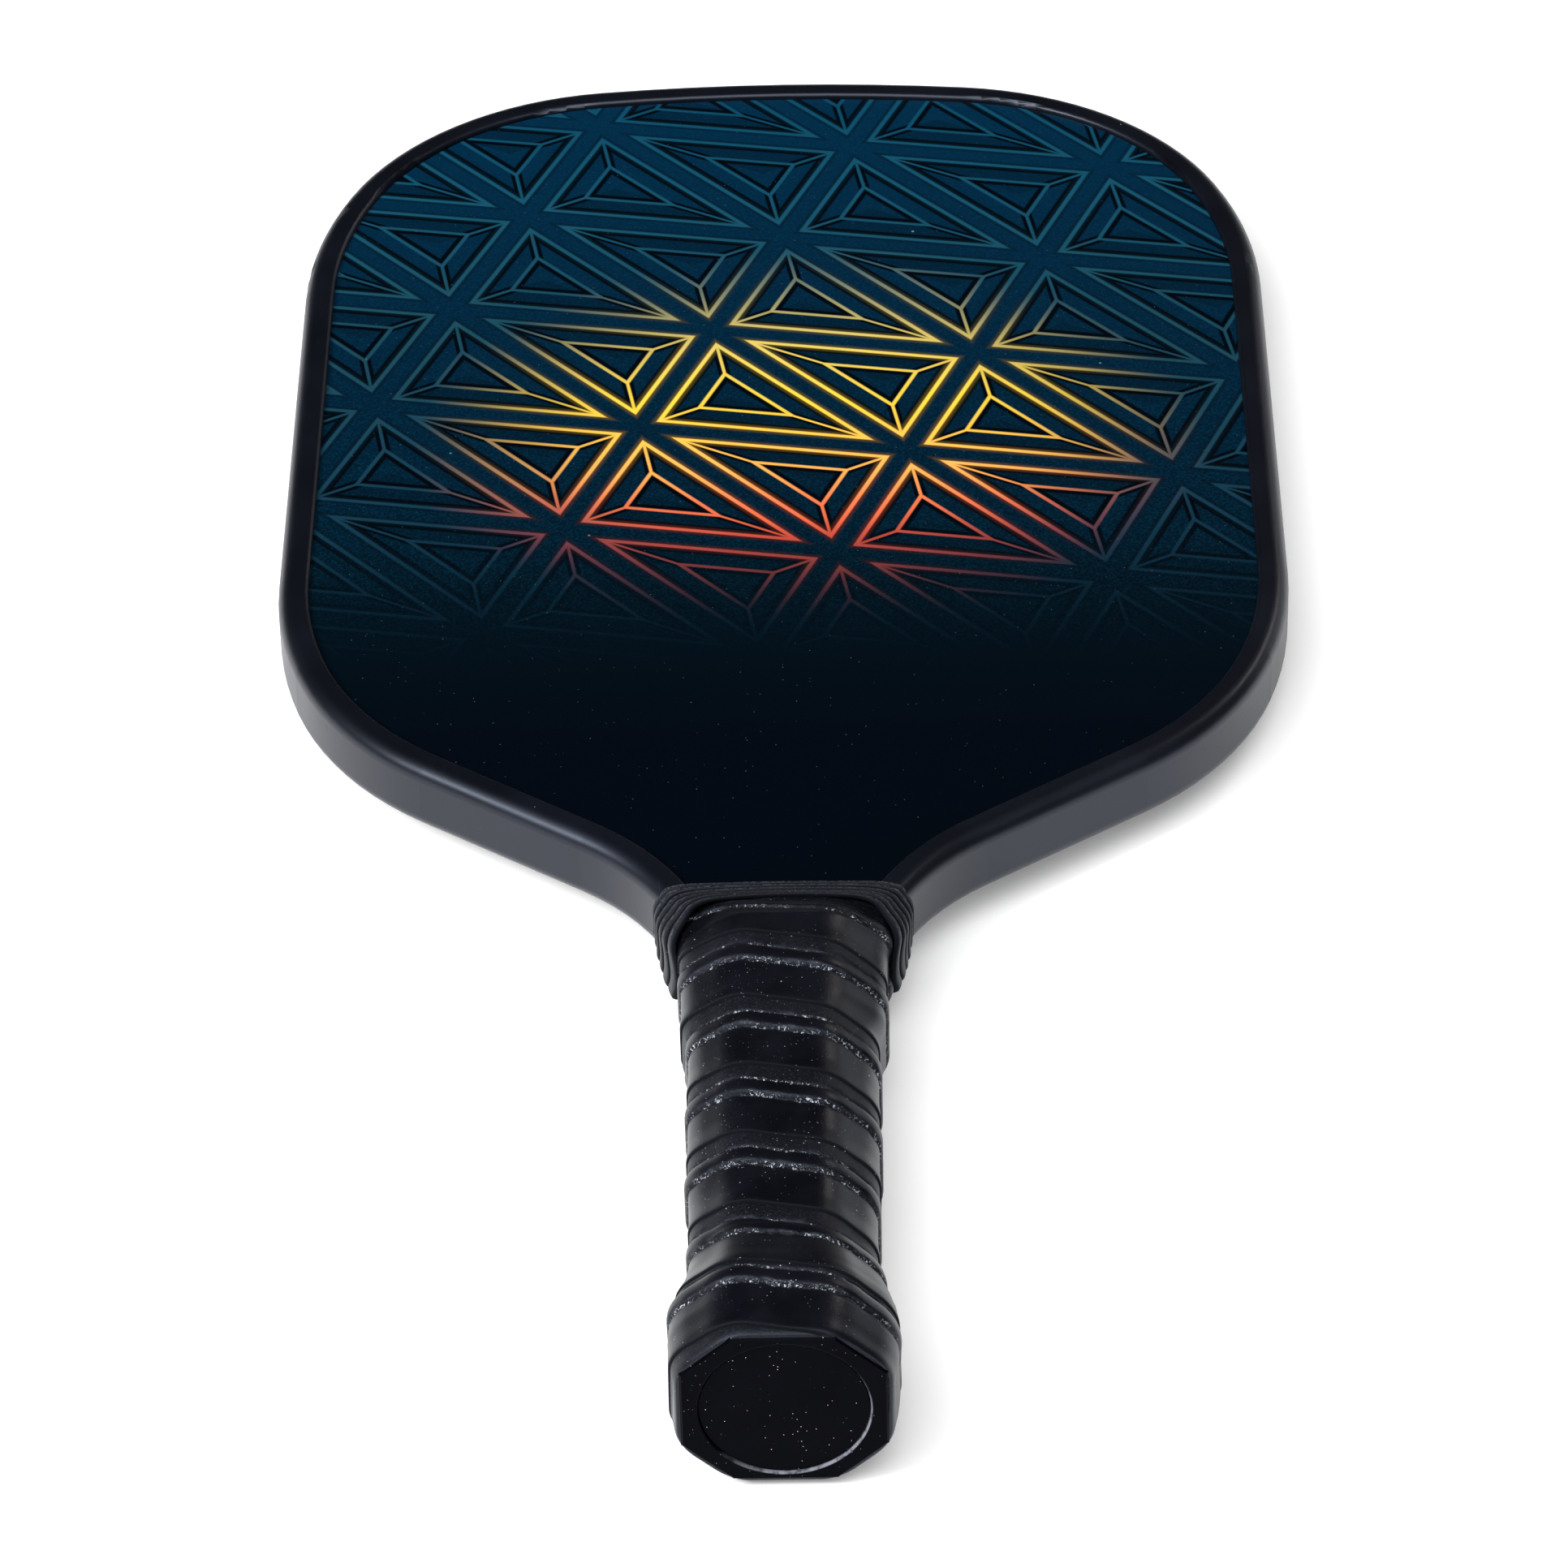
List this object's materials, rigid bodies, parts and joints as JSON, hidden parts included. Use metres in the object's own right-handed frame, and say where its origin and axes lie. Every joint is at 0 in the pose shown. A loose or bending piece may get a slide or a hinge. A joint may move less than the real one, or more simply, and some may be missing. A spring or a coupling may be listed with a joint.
{
  "type": "pickleball paddle",
  "caption": "Flat rounded-square paddle with a honeycomb panel, raised edge guard, patterned face and a short octagonal wrapped handle, for striking a light ball.",
  "frame": {"origin": "bottom centre of the whole paddle, below the middle of its length, on the plane that the thickest part of the handle's rear side touches", "axes": "+X across the head to the right as seen from the front face, +Y from the butt along the handle to the crown of the head, +Z out of the front face"},
  "size_m": [0.1912, 0.397, 0.0354],
  "materials": {
    "core": "matte",
    "bond_film": "satin",
    "face": "matte",
    "guard": "satin",
    "bond_strip": "matte",
    "pallet": "matte",
    "cap": "gloss",
    "badge": "gloss",
    "staple": "satin",
    "grip": "satin",
    "tape": "matte"
  },
  "bodies": {
    "root": {"honeycomb_core": "core", "front_bond_film": "bond_film", "rear_bond_film": "bond_film", "front_face_sheet": "face", "rear_face_sheet": "face", "edge_guard": "guard", "guard_bond_strip": "bond_strip", "front_handle_pallet": "pallet", "rear_handle_pallet": "pallet", "butt_cap": "cap", "butt_badge": "badge", "cap_staples": "staple", "cushion_grip": "grip", "finishing_tape": "tape"}
  },
  "joints": []
}
